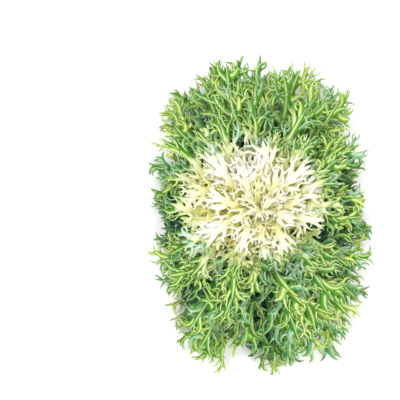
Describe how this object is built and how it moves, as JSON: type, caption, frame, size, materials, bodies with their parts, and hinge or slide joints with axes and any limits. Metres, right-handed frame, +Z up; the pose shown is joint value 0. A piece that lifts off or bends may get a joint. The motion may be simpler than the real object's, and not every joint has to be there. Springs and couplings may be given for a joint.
{
  "type": "curly endive head",
  "caption": "Head of fine-cut curly endive, cut at the stem: a flat rosette of forked, curling green leaves round a blanched ivory heart.",
  "frame": {"origin": "centre of the stem's flat cut face, which the head stands on", "axes": "+Z up, out of the heart; +Y along the head's longer way, which is up in the picture; +X across it"},
  "size_m": [0.1914, 0.277, 0.0697],
  "materials": {
    "stem": "moist cut stem, matt",
    "heart_leaf": "blanched ivory rib and pale yellow lobes, satin",
    "inner_leaf": "ivory rib turning to yellow-green lobes, satin",
    "outer_leaf": "pale rib with mid-green lobes, satin"
  },
  "bodies": {
    "root": {"stem": "stem", "heart": "heart_leaf", "outer_leaf_01": "outer_leaf", "outer_leaf_02": "outer_leaf", "outer_leaf_03": "outer_leaf", "outer_leaf_04": "outer_leaf", "outer_leaf_05": "outer_leaf", "outer_leaf_06": "outer_leaf", "outer_leaf_07": "outer_leaf", "outer_leaf_08": "outer_leaf", "outer_leaf_09": "outer_leaf", "outer_leaf_10": "outer_leaf", "outer_leaf_11": "outer_leaf", "outer_leaf_12": "outer_leaf", "outer_leaf_13": "outer_leaf", "outer_leaf_14": "outer_leaf", "outer_leaf_15": "outer_leaf", "outer_leaf_16": "outer_leaf", "outer_leaf_17": "outer_leaf", "outer_leaf_18": "outer_leaf", "outer_leaf_19": "outer_leaf", "outer_leaf_20": "outer_leaf", "outer_leaf_21": "outer_leaf", "outer_leaf_22": "outer_leaf", "outer_leaf_23": "outer_leaf", "outer_leaf_24": "outer_leaf", "inner_leaf_01": "inner_leaf", "inner_leaf_02": "inner_leaf", "inner_leaf_03": "inner_leaf", "inner_leaf_04": "inner_leaf", "inner_leaf_05": "inner_leaf", "inner_leaf_06": "inner_leaf", "inner_leaf_07": "inner_leaf", "inner_leaf_08": "inner_leaf", "inner_leaf_09": "inner_leaf", "inner_leaf_10": "inner_leaf", "inner_leaf_11": "inner_leaf", "inner_leaf_12": "inner_leaf", "inner_leaf_13": "inner_leaf", "inner_leaf_14": "inner_leaf", "inner_leaf_15": "inner_leaf", "inner_leaf_16": "inner_leaf", "inner_leaf_17": "inner_leaf", "inner_leaf_18": "inner_leaf"}
  },
  "joints": []
}
